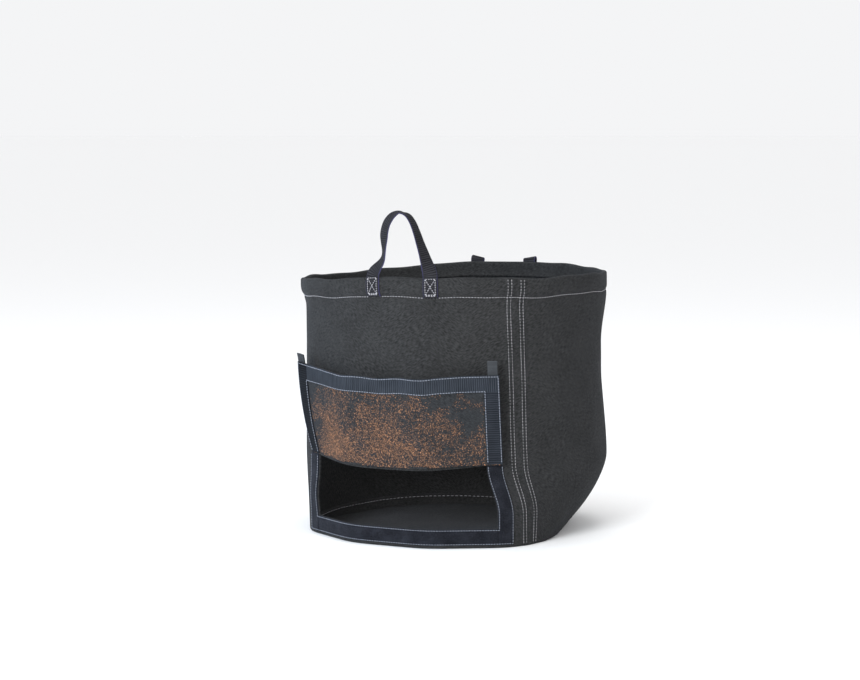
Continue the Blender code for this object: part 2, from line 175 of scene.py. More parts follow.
def waves(a, z):
    """Soft dents and swells of the felt, about 1 at most."""
    t = np.radians(a)
    total = 0.30 * np.sin(3 * t + 9 * z + 1.0) + 0.26 * np.sin(5 * t - 16 * z + 2.2)
    total = total + 0.20 * np.sin(8 * t + 27 * z + 0.5) + 0.14 * np.sin(14 * t - 36 * z + 4.0)
    return total + 0.10 * np.sin(23 * t + 58 * z + 1.3) + 0.07 * np.sin(37 * t - 90 * z + 0.2)


def relief(a, z):
    """How far the felt's outer face stands off the plain form."""
    quiet = 1 - 0.75 * (1 - smooth(50, 62, np.abs(a))) * (1 - smooth(0.10, 0.15, z))
    out = 0.0013 * waves(a, z) * quiet
    stitch = HEIGHT - HEM_DEPTH
    out = out - 0.0011 * bump(z, stitch, 0.0022) + 0.0005 * smooth(stitch, stitch + 0.006, z)
    around = (a - seam_angle(z)) * math.pi / 180 * WALL_RADIUS
    for row in SEAM_ROWS:
        out = out - 0.0006 * bump(around, row, 0.0011)
    lap = smooth(-0.0135, -0.0125, around) * (1 - smooth(0.0120, 0.0150, around))
    out = out + 0.0009 * lap
    corner = bump(a, PINCH_ANGLE, 7.0) * smooth(0.20, HEIGHT, z) ** 2
    return out + 0.0008 * corner - 0.0022 * bump(a, 126.0, 8.0) * smooth(0.2, HEIGHT, z)


def wall_face(angle, z):
    """Points of the felt's outer face; what lies on it drifts round it with the window's edges."""
    first, full, fade, last = DRIFT_ANGLES
    across = smooth(first, full, angle) * (1 - smooth(fade, last, angle))
    a = angle + DRIFT * across * smooth(*DRIFT_HEIGHTS, z)
    a = a - 1.5 * bump(angle, -37.0, 13.0) * bump(z, 0.052, 0.022)
    radius = wall_radius(a, z) + relief(angle, z)
    away = np.abs((a - DROOP_ANGLE + 180) % 360 - 180) / DROOP_SPREAD
    up = (np.maximum(0, z) / HEIGHT) ** 2
    droop = RIM_DROOP * np.cos(np.minimum(1, away) * math.pi / 2) ** 2 * up
    t = np.radians(a)
    lift = 0.0011 * (np.sin(4 * t + 0.8) + 0.7 * np.sin(9 * t + 2.0) + 0.5 * np.sin(17 * t)) * up
    swell = 0.0016 * bump(a, 45.0, 38.0) - 0.0028 * bump(a, PINCH_ANGLE, 16.0)
    lift = lift + (0.0012 + swell) * up
    # The rim stays even under the rear handle
    from_rear = np.abs((a - HANDLE_ANGLE) % 360 - 180)
    lift = lift * (1 - 0.9 * bump(from_rear, 0.0, 22.0))
    # The window's top edge hangs a little in its middle
    sag = 0.0075 * np.clip(1 - (a / WINDOW_ANGLE) ** 2, 0, 1)
    sag = sag * (1 - smooth(WINDOW_TOP, SEWN_EDGE[0], z)) * smooth(0.090, WINDOW_TOP, z)
    return np.stack([radius * np.sin(t), -radius * np.cos(t), z - droop + lift - sag], -1)


def wall_frame(a, z):
    """(points, outward normals, directions round the wall, directions up) at these places."""
    a, z = np.broadcast_arrays(np.asarray(a, float), np.asarray(z, float))
    point = wall_face(a, z)
    around = wall_face(a + 0.25, z) - wall_face(a - 0.25, z)
    up = wall_face(a, z + 0.0006) - wall_face(a, z - 0.0006)
    normal = np.cross(around, up)
    return point, unit(normal), unit(around), unit(up)


def wall(a, z, out):
    point, normal, _, _ = wall_frame(a, z)
    return point + normal * np.asarray(out)[..., None]


def unit(v):
    return v / np.maximum(np.linalg.norm(v, axis=-1, keepdims=True), 1e-12)


# Mesh helpers


def make(name, points, faces, material, uv=None):
    mesh = bpy.data.meshes.new(name)
    mesh.from_pydata([tuple(p) for p in np.asarray(points).reshape(-1, 3)], [], faces)
    mesh.materials.append(material)
    if uv is not None:
        layer = mesh.uv_layers.new(name="cloth")
        index = np.empty(len(mesh.loops), int)
        mesh.loops.foreach_get("vertex_index", index)
        layer.data.foreach_set("uv", np.asarray(uv, float).reshape(-1, 2)[index].ravel())
    mesh.shade_smooth()
    mesh.set_sharp_from_angle(angle=math.radians(50))
    made = bpy.data.objects.new(name, mesh)
    bpy.context.scene.collection.objects.link(made)
    return made


def grid_faces(rows, columns, start=0, flip=False, hole=None):
    """Faces of a grid of points; hole is (first row, last row, first column, last column)."""
    faces = []
    for r in range(rows - 1):
        for c in range(columns - 1):
            if hole and hole[0] <= r < hole[1] and hole[2] <= c < hole[3]:
                continue
            low = start + r * columns + c
            high = low + columns
            quad = [low, low + 1, high + 1, high]
            faces.append(quad[::-1] if flip else quad)
    return faces


def shell(name, front, back, material, uv, backing=None):
    """A closed sheet between two grids of points; its back and edges may have another material."""
    rows, columns = front.shape[:2]
    n = rows * columns
    faces = grid_faces(rows, columns) + grid_faces(rows, columns, n, flip=True)
    loop = list(range(columns)) + [r * columns + columns - 1 for r in range(1, rows)]
    loop += [(rows - 1) * columns + c for c in range(columns - 2, -1, -1)]
    loop += [r * columns for r in range(rows - 2, 0, -1)]
    for a, b in zip(loop, loop[1:] + loop[:1]):
        faces.append([b, a, a + n, b + n])
    points = np.concatenate([front.reshape(-1, 3), back.reshape(-1, 3)])
    uv = np.concatenate([uv.reshape(-1, 2)] * 2)
    made = make(name, points, faces, material, uv)
    if backing:
        made.data.materials.append(backing)
        for face in made.data.polygons[(rows - 1) * (columns - 1) :]:
            face.material_index = 1
    return made


def rounded(edge, count):
    """Places across a strip, from -edge to edge, closer together near its edges."""
    t = np.linspace(-1, 1, count)
    return edge * np.sin(t * math.pi / 2)


def edge_round(across, edge, radius):
    """How far a strip's face drops near its edges, so that they look rolled."""
    inside = np.clip((edge - np.abs(across)) / radius, 0, 1)
    return radius * (1 - np.sqrt(1 - (1 - inside) ** 2))


def lengths(line):
    """The length along a line of points, up to each of them."""
    return np.concatenate([[0], np.cumsum(np.linalg.norm(np.diff(line, axis=0), axis=1))])


def points_at(places, along, values):
    """The rows of values, given at the places in along, read at other places."""
    return np.stack([np.interp(places, along, column) for column in values.T], -1)


def strap(name, centre, across, normal):
    """A strip of webbing along a line of points, with its directions across and out."""
    half = STRAP_WIDTH / 2
    s = rounded(half, 9)
    drop = edge_round(s, half, STRAP_THICK * 0.5)
    face = STRAP_THICK / 2 - drop
    base = -STRAP_THICK / 2 + drop * 0.6
    flat = centre[:, None] + across[:, None] * s[None, :, None]
    front = flat + normal[:, None] * face[None, :, None]
    back = flat + normal[:, None] * base[None, :, None]
    uv = np.stack(np.broadcast_arrays(lengths(centre)[:, None], s[None, :]), -1)
    return shell(name, front[:, ::-1], back[:, ::-1], WEBBING, uv[:, ::-1])


def stitch_mesh(paths, pitch, length, width, seed):
    """Separate stitches along several (points, normals) lines: (vertices, faces)."""
    rng = np.random.default_rng(seed)
    rings = np.array([-0.50, -0.42, -0.20, 0.20, 0.42, 0.50])
    size = np.array([0.25, 0.75, 1.0, 1.0, 0.75, 0.25])
    lift = np.array([-0.55, 0.05, 0.30, 0.30, 0.05, -0.55])
    sides = 6
    turn = np.arange(sides) / sides * 2 * math.pi
    points, faces = [], []
    for line, normals in paths:
        s = lengths(line)
        count = max(1, int(round((s[-1] - pitch * 0.1) / pitch)))
        for k in range(count):
            mid = (k + 0.5) / count * s[-1] + rng.normal(0, pitch * 0.02)
            long = length * rng.uniform(0.94, 1.06) * min(1.0, s[-1] / count / pitch)
            centre = points_at(mid, s, line)
            t = unit(points_at(mid + long / 2, s, line) - points_at(mid - long / 2, s, line))
            n = unit(points_at(mid, s, normals))
            b = unit(np.cross(n, t) + t * rng.normal(0, 0.05))
            n = np.cross(t, b)
            start = len(points)
            for place, big, high in zip(rings, size, lift):
                middle = centre + t * place * long + n * high * width
                for c, d in zip(np.cos(turn), np.sin(turn)):
                    points.append(middle + (b * c + n * d * 0.8) * big * width / 2)
            for r in range(len(rings) - 1):
                for c in range(sides):
                    d = (c + 1) % sides
                    row, above = start + r * sides, start + (r + 1) * sides
                    faces.append([row + c, row + d, above + d, above + c])
            faces.append([start + c for c in range(sides)][::-1])
            faces.append([start + (len(rings) - 1) * sides + c for c in range(sides)])
    return points, faces


def stitches(name, paths, material, pitch, length, width=0.0009, seed=1):
    points, faces = stitch_mesh(paths, pitch, length, width, seed)
    return make(name, points, faces, material)


def put(piece, body, slot, *nodes):
    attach(piece, body)
    if nodes:
        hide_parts(*nodes)


# Materials


class Nodes:
    """A short way to write a material's nodes."""

    def __init__(self, name):
        self.material = bpy.data.materials.new(name)
        self.material.use_nodes = True
        self.tree = self.material.node_tree
        self.shader = self.tree.nodes["Principled BSDF"]

    def node(self, kind):
        return self.tree.nodes.new("ShaderNode" + kind)

    def set(self, socket, value):
        if isinstance(value, bpy.types.NodeSocket):
            self.tree.links.new(value, socket)
        else:
            socket.default_value = value

    def uv(self, scale=(1, 1, 1), turn=0.0, offset=(0, 0, 0)):
        """The piece's own cloth coordinates in metres, turned by degrees and then stretched."""
        vector = self.node("TexCoord").outputs["UV"]
        for step in ({"Rotation": (0, 0, math.radians(turn))}, {"Scale": scale, "Location": offset}):
            mapping = self.node("Mapping")
            self.set(mapping.inputs["Vector"], vector)
            for key, value in step.items():
                mapping.inputs[key].default_value = value
            vector = mapping.outputs["Vector"]
        return vector

    def noise(self, vector, scale, detail, roughness, distortion=0.0):
        made = self.node("TexNoise")
        self.set(made.inputs["Vector"], vector)
        made.inputs["Scale"].default_value = scale
        made.inputs["Detail"].default_value = detail
        made.inputs["Roughness"].default_value = roughness
        made.inputs["Distortion"].default_value = distortion
        return made.outputs["Fac"]

    def voronoi(self, vector):
        made = self.node("TexVoronoi")
        self.set(made.inputs["Vector"], vector)
        made.inputs["Scale"].default_value = 1.0
        return made.outputs["Distance"], made.outputs["Color"]

    def math(self, operation, a, b=0.0, c=0.0):
        made = self.node("Math")
        made.operation = operation
        for socket, value in zip(made.inputs, (a, b, c)):
            self.set(socket, value)
        return made.outputs[0]

    def ramp(self, value, low, high, to_low=0.0, to_high=1.0):
        made = self.node("MapRange")
        made.interpolation_type = "SMOOTHSTEP"
        keys = ("Value", "From Min", "From Max", "To Min", "To Max")
        for key, number in zip(keys, (value, low, high, to_low, to_high)):
            self.set(made.inputs[key], number)
        return made.outputs["Result"]

    def add(self, a, b):
        return self.math("ADD", a, b)

    def times(self, a, b):
        return self.math("MULTIPLY", a, b)

    def mix(self, share, a, b):
        made = self.node("Mix")
        made.data_type = "RGBA"
        self.set(made.inputs["Factor"], share)
        for key, value in (("A", a), ("B", b)):
            socket = next(s for s in made.inputs if s.name == key and s.type == "RGBA")
            self.set(socket, value if isinstance(value, bpy.types.NodeSocket) else (*value, 1))
        return next(s for s in made.outputs if s.type == "RGBA")

    def split(self, vector):
        made = self.node("SeparateXYZ")
        self.set(made.inputs[0], vector)
        return made.outputs

    def bump(self, height, distance, strength, normal=None):
        made = self.node("Bump")
        self.set(made.inputs["Height"], height)
        made.inputs["Distance"].default_value = distance
        made.inputs["Strength"].default_value = strength
        if normal:
            self.set(made.inputs["Normal"], normal)
        return made.outputs["Normal"]

    def finish(self, colour, roughness, normal=None, sheen=0.0, sheen_roughness=0.4, specular=0.3):
        inputs = self.shader.inputs
        plain = not isinstance(colour, bpy.types.NodeSocket)
        self.set(inputs["Base Color"], (*colour, 1) if plain else colour)
        self.set(inputs["Roughness"], roughness)
        inputs["Specular IOR Level"].default_value = specular
        inputs["Sheen Weight"].default_value = sheen
        inputs["Sheen Roughness"].default_value = sheen_roughness
        inputs["Sheen Tint"].default_value = (0.75, 0.82, 1.0, 1)
        if normal:
            self.set(inputs["Normal"], normal)
        return self.material


def felt_parts(n):
    """The felt's (lightness 0 to 1, height 0 to 1): matted hair that changes direction."""
    mottle = n.noise(n.uv((26, 26, 26)), 1.0, 3, 0.55)
    lay = n.ramp(n.noise(n.uv((9, 6, 30), offset=(4, 2, 0)), 1.0, 3, 0.6), 0.42, 0.58)
    first = n.noise(n.uv((190, 1000, 300), turn=36), 1.0, 3, 0.6, 0.2)
    second = n.noise(n.uv((190, 960, 300), turn=-30, offset=(7, 3, 0)), 1.0, 3, 0.6, 0.2)
    hair = n.add(n.times(first, lay), n.times(second, n.math("SUBTRACT", 1.0, lay)))
    grain = n.noise(n.uv((1500, 1500, 1500)), 1.0, 2, 0.6)
    light = n.add(n.times(hair, 0.68), n.times(mottle, 0.10))
    light = n.add(light, n.times(grain, 0.22))
    height = n.add(n.times(hair, 0.75), n.times(grain, 0.25))
    return light, height


def felt_material(name, dark, light):
    n = Nodes(name)
    lightness, height = felt_parts(n)
    colour = n.mix(n.ramp(lightness, 0.39, 0.62), dark, light)
    normal = n.bump(height, 0.0013, 0.75)
    return n.finish(colour, 0.95, normal, sheen=0.03, sheen_roughness=0.5, specular=0.08)


def dusty_felt_material(name, dark, light):
    """The flap's inner face, with coir dust and fibres left on it by the soil."""
    n = Nodes(name)
    lightness, height = felt_parts(n)
    felt = n.mix(n.ramp(lightness, 0.38, 0.63), dark, light)
    place = n.split(n.uv())

    def near(u, low, high, to_low, to_high):
        """A ramp by the distance from a place along the flap."""
        return n.ramp(n.math("ABSOLUTE", n.add(place[0], -u)), low, high, to_low, to_high)

    # Where the coir lies: in patches, two heaps, less towards the ends and the top
    patch = n.noise(n.uv((24, 30, 20), offset=(0.3, 0.1, 0)), 1.0, 3, 0.6, 0.5)
    patch = n.math("MULTIPLY_ADD", patch, 1.5, -0.36)
    pile = near(-0.085, 0.0, 0.045, 0.20, 0.0)
    heap = near(0.004, 0.0, 0.055, 0.16, 0.0)
    ends = near(0.010, 0.085, 0.140, 0.0, -0.16)
    lower = n.ramp(place[1], 0.022, 0.084, 0.00, -0.30)
    clean = n.ramp(place[0], 0.030, 0.120, 0.0, -0.14)
    density = n.add(n.add(patch, pile), n.add(heap, lower))
    density = n.add(density, n.add(ends, clean))
    fine = n.noise(n.uv((900, 900, 900)), 1.0, 3, 0.7)
    dust = n.times(n.ramp(density, 0.46, 1.00), n.ramp(fine, 0.36, 0.62, 0.15, 0.65))
    colour = n.mix(dust, felt, (0.100, 0.054, 0.034))
    # Crumbs and fibres: (turn, cells per metre across, cells per metre along, share kept)
    layers = (
        (20, 1300, 780, 0.72), (95, 1150, 660, 0.62), (150, 1450, 880, 0.76), (60, 720, 430, 0.30),
        (5, 1050, 640, 0.60), (38, 1900, 400, 0.36), (118, 1700, 360, 0.32),
    )
    crumbs = None
    for k, (turn, across, along, share) in enumerate(layers):
        cells = n.uv((along, across, 1), turn=turn, offset=(k * 3.1, k * 1.7, 0))
        distance, shade = n.voronoi(cells)
        draw = n.split(shade)
        chance = n.math("SUBTRACT", n.times(density, share), draw[0])
        spot = n.times(n.ramp(distance, 0.50, 0.22), n.ramp(chance, -0.03, 0.02))
        pale = n.math("POWER", draw[1], 1.6)
        colour = n.mix(spot, colour, n.mix(pale, (0.075, 0.037, 0.021), (0.62, 0.300, 0.150)))
        crumbs = spot if crumbs is None else n.math("MAXIMUM", crumbs, spot)
    normal = n.bump(height, 0.0014, 0.7)
    normal = n.bump(crumbs, 0.0009, 0.8, normal)
    return n.finish(colour, 0.95, normal, sheen=0.03, sheen_roughness=0.5, specular=0.08)


def ribbed_material(name, dark, light, pitch, edge=None, sheen=0.02):
    """Woven tape or webbing whose ribs run across it; UV is (along, across)."""
    n = Nodes(name)
    place = n.split(n.uv())
    wobble = n.noise(n.uv((60, 300, 1)), 1.0, 1, 0.5)
    along = n.add(place[0], n.times(wobble, pitch * 0.35))
    rib = n.math("SINE", n.times(along, 2 * math.pi / pitch))
    rib = n.math("MULTIPLY_ADD", rib, 0.5, 0.5)
    streak = n.noise(n.uv((330, 12, 1)), 1.0, 2, 0.6)
    cross = n.math("SINE", n.times(place[1], 2 * math.pi / 0.0011))
    cross = n.math("MULTIPLY_ADD", cross, 0.5, 0.5)
    grain = n.noise(n.uv((1500, 1500, 1500)), 1.0, 2, 0.6)
    patch = n.noise(n.uv((45, 45, 45)), 1.0, 2, 0.5)
    lightness = n.add(n.times(rib, 0.36), n.times(grain, 0.25))
    lightness = n.add(lightness, n.times(patch, 0.30))
    lightness = n.add(lightness, n.times(streak, 0.45))
    colour = n.mix(n.ramp(lightness, 0.32, 0.98), dark, light)
    if edge:
        half = STRAP_WIDTH / 2
        selvedge = n.ramp(n.math("ABSOLUTE", place[1]), half * 0.90, half * 0.99)
        colour = n.mix(selvedge, colour, edge)
    height = n.add(n.times(rib, 0.7), n.times(cross, 0.15))
    height = n.add(height, n.times(grain, 0.35))
    normal = n.bump(height, 0.0006, 0.8)
    return n.finish(colour, 0.8, normal, sheen=sheen, sheen_roughness=0.4, specular=0.05)


def loop_material(name, dark, light):
    """Loop pile: a dense fuzz."""
    n = Nodes(name)
    fuzz = n.noise(n.uv((900, 900, 900)), 1.0, 4, 0.7, 1.2)
    curl, _ = n.voronoi(n.uv((700, 700, 1)))
    patch = n.noise(n.uv((60, 60, 60)), 1.0, 2, 0.5)
    lightness = n.add(n.times(fuzz, 0.7), n.times(patch, 0.3))
    colour = n.mix(n.ramp(lightness, 0.35, 0.72), dark, light)
    height = n.add(n.times(fuzz, 0.7), n.times(curl, 0.5))
    normal = n.bump(height, 0.0012, 0.9)
    return n.finish(colour, 1.0, normal, sheen=0.05, sheen_roughness=0.5, specular=0.08)


def thread_material(name, colour, dark):
    n = Nodes(name)
    twist = n.noise(n.node("TexCoord").outputs["Object"], 1400.0, 2, 0.5)
    tone = n.mix(n.ramp(twist, 0.35, 0.65), dark, colour)
    return n.finish(tone, 0.6, n.bump(twist, 0.0003, 0.6), sheen=0.1, specular=0.3)


FELT_OUT = felt_material("felt_outer", (0.0122, 0.0123, 0.0125), (0.0392, 0.0395, 0.0402))
FELT_IN = felt_material("felt_inner", (0.0125, 0.0125, 0.0126), (0.0390, 0.0390, 0.0392))
FELT_DUSTY = dusty_felt_material(
    "felt_with_coir_dust", (0.0115, 0.0122, 0.0133), (0.0370, 0.0395, 0.0430)
)
HOOK = ribbed_material("hook_tape", (0.0085, 0.0100, 0.0128), (0.037, 0.043, 0.054), TAPE_PITCH)
# The side tapes are the same hook tape as the end tape, painted darker as shade: the left one much
# darker, the right one a little darker
HOOK_SIDES_PAINTED_SHADE = {
    -1: ribbed_material(
        "hook_tape_left_painted_shade", (0.0031, 0.0035, 0.0048), (0.0130, 0.0150, 0.0190), TAPE_PITCH, sheen=0.01
    ),
    1: ribbed_material(
        "hook_tape_right_painted_shade", (0.0061, 0.0070, 0.0094), (0.0260, 0.0300, 0.0380), TAPE_PITCH
    ),
}
LOOP = loop_material("loop_tape", (0.0045, 0.0050, 0.0070), (0.024, 0.026, 0.034))
WEBBING = ribbed_material(
    "webbing", (0.0065, 0.0064, 0.0078), (0.033, 0.0325, 0.037), 0.0026, edge=(0.040, 0.038, 0.090)
)
TAB = ribbed_material("tab_webbing", (0.022, 0.024, 0.027), (0.062, 0.066, 0.072), 0.0016)
THREAD = thread_material("thread_white", (0.42, 0.41, 0.43), (0.27, 0.26, 0.28))
THREAD_BLUE = thread_material("thread_pale_blue", (0.27, 0.29, 0.34), (0.14, 0.155, 0.19))

# The wall


def wall_angles():
    key = [-180.0, -TAPE_ANGLE, -WINDOW_ANGLE, WINDOW_ANGLE, TAPE_ANGLE, 180.0]
    angles = [key[0]]
    for low, high in zip(key[:-1], key[1:]):
        count = int(math.ceil((high - low) / 0.8))
        angles += list(np.linspace(low, high, count + 1)[1:])
    return np.array(angles)


def wall_rows():
    """(z, distance out) from the foot up the outside, over the rim and down inside the hem."""
    key = [0.0025, WINDOW_BOTTOM, WINDOW_TOP, SEWN_EDGE[0], HEIGHT - HEM_DEPTH, HEIGHT - ROLL]
    steps = [8, 30, 4, 66, 12]
    z = [key[0]]
    for low, high, count in zip(key, key[1:], steps):
        z += list(np.linspace(low, high, count + 1)[1:])
    rows = [(0.0, -0.0012), (0.0012, -0.0003)] + [(value, 0.0) for value in z]
    for k in range(1, 13):
        turn = math.pi * k / 12
        rows.append((HEIGHT - ROLL + ROLL * math.sin(turn), -ROLL * (1 - math.cos(turn))))
    low = HEIGHT - HEM_DEPTH + 0.001
    for k in range(1, 7):
        rows.append((HEIGHT - ROLL + (low - HEIGHT + ROLL) * k / 6, -2 * ROLL))
    return np.array(rows)


def nearest(values, wanted):
    return int(np.argmin(abs(values - wanted)))


def thicken(piece):
    """Closes the seam of a face that runs all the way round, and gives it the felt's thickness."""
    piece.modifiers.new("close", "WELD").merge_threshold = MERGE_DISTANCE
    solid = piece.modifiers.new("felt", "SOLIDIFY")
    solid.thickness, solid.offset = FELT, -1
    return solid


def make_wall():
    angles, rows = wall_angles(), wall_rows()
    a, z = np.meshgrid(angles, rows[:, 0])
    out = np.broadcast_to(rows[:, 1][:, None], a.shape)
    # Past the rim, the fold inside is offset from the outer face at the same height
    points = wall(a, z, out)
    points[:, -1] = points[:, 0]
    window = (
        nearest(rows[:, 0], WINDOW_BOTTOM), nearest(rows[:, 0], WINDOW_TOP),
        nearest(angles, -WINDOW_ANGLE), nearest(angles, WINDOW_ANGLE),
    )
    faces = grid_faces(len(rows), len(angles), hole=window)
    length = np.concatenate([[0], np.cumsum(np.hypot(*np.diff(rows, axis=0).T))])
    uv = np.stack([np.radians(a) * WALL_RADIUS, np.broadcast_to(length[:, None], a.shape)], -1)
    piece = make("wall_felt", points, faces, FELT_OUT, uv)
    piece.data.materials.append(FELT_IN)
    solid = thicken(piece)
    solid.material_offset, solid.material_offset_rim = 1, 0
    put(piece, "bag", "felt", "wall_panel")


def make_base():
    angles = np.linspace(-180, 180, 181)
    turn = np.radians(angles)
    inner = -FELT - 0.0004
    rows = [(0.0, inner - 0.0016), (0.0016, inner), (0.0050, inner), (0.0085, inner), (0.012, inner)]
    rings = [wall(angles, np.full_like(angles, z), np.full_like(angles, out)) for z, out in rows]
    rings[0][:, 2] = 0.0
    for ring in rings[1:]:
        ring[:, 2] = np.maximum(ring[:, 2], 0.0004)
    centre = rings[0].mean(0)
    disc = [centre + (rings[0] - centre) * share for share in (0.0, 0.2, 0.4, 0.6, 0.8, 0.93)]
    grid = np.stack(disc + rings)
    left = nearest(angles, -90.0)
    length = lengths(grid[:, left])
    uv = np.stack([grid[..., 0], grid[..., 1]], -1)
    uv[len(disc):, :, 0] = turn * FOOT_RADIUS
    uv[len(disc):, :, 1] = length[len(disc):, None]
    piece = make("base_felt", grid, grid_faces(*grid.shape[:2]), FELT_IN, uv)
    thicken(piece)
    put(piece, "bag", "felt", "base_panel")


def wall_line(a, z, out):
    point, normal, _, _ = wall_frame(a, z)
    return point + normal * out, normal


def make_wall_stitching():
    line = wall_line(np.linspace(-180, 180, 1200), HEIGHT - HEM_DEPTH, 0.0001)
    piece = stitches("hem_stitches", [line], THREAD, pitch=0.0037, length=0.0024, width=0.0008)
    put(piece, "bag", "thread", "hem_stitching")
    z = np.linspace(0.003, HEIGHT - 0.0014, 300)
    for k, across in enumerate(SEAM_ROWS, 1):
        turn = math.degrees(across / WALL_RADIUS)
        line = wall_line(seam_angle(z) + turn, z, 0.0001)
        piece = stitches(f"side_seam_stitches_{k}", [line], THREAD, 0.0038, 0.0024, 0.0008, seed=k)
        put(piece, "bag", "thread", f"side_seam_stitching_{k}")
    line = wall_line(np.linspace(-180, 180, 700), 0.008, -2 * FELT - 0.0008)
    piece = stitches("base_seam_stitches", [(line[0], -line[1])], THREAD, 0.006, 0.0042, 0.0009)
    put(piece, "bag", "thread", "base_seam_stitching")


def wall_patch(name, angles, heights, thick, material, along_up):
    """A sheet that lies on the wall, with soft edges."""
    out = 0.0001
    a, z = np.meshgrid(angles, heights)
    edge_a = np.minimum(a - angles[0], angles[-1] - a) * math.pi / 180 * WALL_RADIUS
    edge_z = np.minimum(z - heights[0], heights[-1] - z)
    t = np.clip(np.minimum(edge_a, edge_z) / SOFT_EDGE, 0, 1)
    top = out + thick * (0.45 + 0.55 * np.sqrt(1 - (1 - t) ** 2))
    front, back = wall(a, z, top), wall(a, z, np.full_like(a, out))
    u = np.radians(a - (angles[0] + angles[-1]) / 2) * WALL_RADIUS
    v = z - (heights[0] + heights[-1]) / 2
    uv = np.stack([v, u] if along_up else [u, v], -1)
    return shell(name, front, back, material, uv)


def spaced(low, high, step, soft=SOFT_EDGE):
    """Places from low to high, with extra ones near the ends for a soft edge."""
    count = max(2, int(round((high - low) / step)))
    inner = list(np.linspace(low, high, count + 1))
    ends = [soft * 0.25, soft * 0.6, soft * 1.1]
    extra = [low + e for e in ends] + [high - e for e in ends]
    return np.array(sorted(inner + extra))


def degrees(metres):
    return math.degrees(metres / WALL_RADIUS)


def make_window_tapes():
    soft = degrees(SOFT_EDGE)
    heights = spaced(TAPE_BOTTOM, WINDOW_TOP + 0.001, 0.0025)
    for side, name in SIDES.items():
        low, high = sorted((side * WINDOW_ANGLE, side * TAPE_ANGLE))
        angles = spaced(low, high, 0.8, soft)
        piece = wall_patch(f"loop_tape_{name}_pile", angles, heights, PILE_THICK, LOOP, True)
        put(piece, "bag", "loop_tape", f"loop_tape_{name}")
    angles = spaced(-WINDOW_ANGLE + 0.1, WINDOW_ANGLE - 0.1, 0.8, soft)
    heights = spaced(TAPE_BOTTOM, WINDOW_BOTTOM, 0.002)
    piece = wall_patch("loop_tape_bottom_pile", angles, heights, PILE_THICK, LOOP, False)
    put(piece, "bag", "loop_tape", "loop_tape_bottom")
    rows = (
        ("inner", facet_angle(WINDOW_EDGE + 0.0013), WINDOW_BOTTOM - 0.0013),
        ("outer", facet_angle(TAPE_EDGE - 0.0010), TAPE_BOTTOM + 0.0013),
    )
    for name, edge, low in rows:
        z = np.linspace(WINDOW_TOP - 0.001, low, 60)
        a = np.linspace(-edge, edge, 200)
        angles = np.concatenate([np.full(60, -edge), a, np.full(60, edge)])
        heights = np.concatenate([z, np.full(200, low), z[::-1]])
        line = wall_line(angles, heights, 0.0018)
        piece = stitches(f"window_{name}_stitches", [line], THREAD_BLUE, 0.0034, 0.0025, 0.0008)
        put(piece, "bag", "thread", f"window_{name}_stitching")


def make_sewn_edge():
    angles = spaced(-TAPE_ANGLE, TAPE_ANGLE, 0.8, degrees(SOFT_EDGE))
    heights = spaced(SEWN_EDGE[0] - 0.0045, SEWN_EDGE[1], 0.0015)
    piece = wall_patch("flap_sewn_margin", angles, heights, 0.0026, FELT_OUT, False)
    put(piece, "bag", "felt", "flap_sewn_edge")
    a = np.linspace(-TAPE_ANGLE + 0.5, TAPE_ANGLE - 0.5, 200)
    for name, z in (("lower", 0.1135), ("upper", 0.1195)):
        line = wall_line(a, z, 0.0027)
        piece = stitches(f"flap_edge_stitches_{name}", [line], THREAD, 0.0045, 0.0029)
        put(piece, "bag", "thread", f"flap_edge_stitching_{name}")


# The flap


def flap_line():
    """The flap's curve seen from above: u from its middle, and x and y there, from the hinge."""
    u = np.linspace(-FLAP_HALF - 0.02, FLAP_HALF + 0.02, 1401)
    first, last = LEAF - FLAP_BEND, LEAF + FLAP_BEND
    turn = math.radians(RIGHT_TURN) * smooth(first, last, u)
    turn = turn - math.radians(LEFT_TURN) * smooth(first, last, -u)
    x = np.concatenate([[0], np.cumsum(np.cos(turn[:-1]) * np.diff(u))])
    y = np.concatenate([[0], np.cumsum(np.sin(turn[:-1]) * np.diff(u))])
    x, y = x - np.interp(0, u, x), y - np.interp(0, u, y)
    return u, x, y


FLAP_LINE = flap_line()


def flap_place(u, v):
    """Points of the open flap's surface, at u along it and v up it from the hinge."""
    us, xs, ys = FLAP_LINE
    x, y = np.interp(u, us, xs), np.interp(u, us, ys)
    left = np.clip((-u - LEAF) / OUTER_LEAF, 0, 1)
    right = np.clip((u - LEAF) / OUTER_LEAF, 0, 1)
    high = v / FLAP_HEIGHT
    low = np.clip(1 - high, 0, 1.1)
    middle = np.clip(1 - (u / 0.100) ** 2, 0, 1)
    # The lower corners are drawn in by the fold, and the free edge runs a little higher at the left
    y = y + 0.0060 * left * low**2
    x = x + 0.0130 * left * low**2 + 0.0020 * left * high - 0.0030 * right
    z = v + (0.0034 + 0.0030 * left**2 - 0.0022 * right**2 - 0.0022 * middle) * high
    z = z - 0.0050 * left * low - 0.0035 * right * low - FOLD_DROOP * middle * low**3
    # Ripples, in the middle only
    calm = 1 - smooth(0.055, 0.090, np.abs(u))
    y = y + (0.0011 * np.sin(70 * u + 1.0) + 0.0007 * np.sin(130 * u + 9 * high + 2)) * high * calm
    y = y - 0.0012 * np.sin(math.pi * np.clip(high, 0, 1)) * calm
    z = z - 0.0008 * np.sin(100 * u + 2.0) * high * calm
    lean = math.radians(LEAN)
    world_y = -HINGE_DISTANCE + y * math.cos(lean) - z * math.sin(lean)
    world_z = FOLD_HEIGHT + y * math.sin(lean) + z * math.cos(lean)
    return np.stack([x, world_y, world_z], -1)


def flap_frame(u, v):
    u, v = np.broadcast_arrays(np.asarray(u, float), np.asarray(v, float))
    along = flap_place(u + 0.0006, v) - flap_place(u - 0.0006, v)
    up = flap_place(u, v + 0.0006) - flap_place(u, v - 0.0006)
    return flap_place(u, v), unit(np.cross(along, up))


